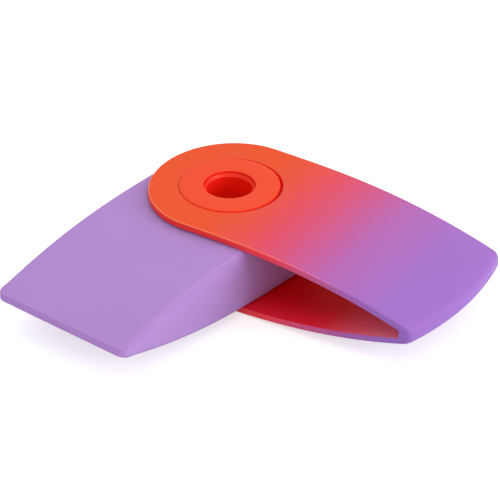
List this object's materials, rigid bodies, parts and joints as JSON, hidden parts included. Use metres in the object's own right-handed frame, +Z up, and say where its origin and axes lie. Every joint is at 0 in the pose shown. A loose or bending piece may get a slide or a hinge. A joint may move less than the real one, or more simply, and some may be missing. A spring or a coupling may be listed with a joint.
{
  "type": "eraser with swivel sleeve",
  "caption": "Wedge-shaped rubber eraser that swings out of a slim two-cheeked plastic sleeve on a hollow round hub, shown opened out sideways.",
  "frame": {"origin": "centre of the rest pose's footprint, on the surface that the sleeve lies on", "axes": "+X along the sleeve towards its tail, +Z up along the pivot"},
  "size_m": [0.0593, 0.0525, 0.0128],
  "materials": {
    "sleeve_plastic": "satin, sprayed purple from the tail and fading to orange-red at the head",
    "eraser_rubber": "matte lilac",
    "upper_hub_plastic": "satin orange-red",
    "lower_hub_plastic": "satin orange-red"
  },
  "bodies": {
    "sleeve": {"sleeve": "sleeve_plastic"},
    "eraser": {"eraser": "eraser_rubber", "upper_hub": "upper_hub_plastic", "lower_hub": "lower_hub_plastic"}
  },
  "joints": [
    {"name": "eraser_swing", "type": "hinge", "parent": "sleeve", "child": "eraser", "pos_m": [-0.01221, 0.01333, 0.00632], "axis": [0, 0, 1], "continuous": true}
  ]
}
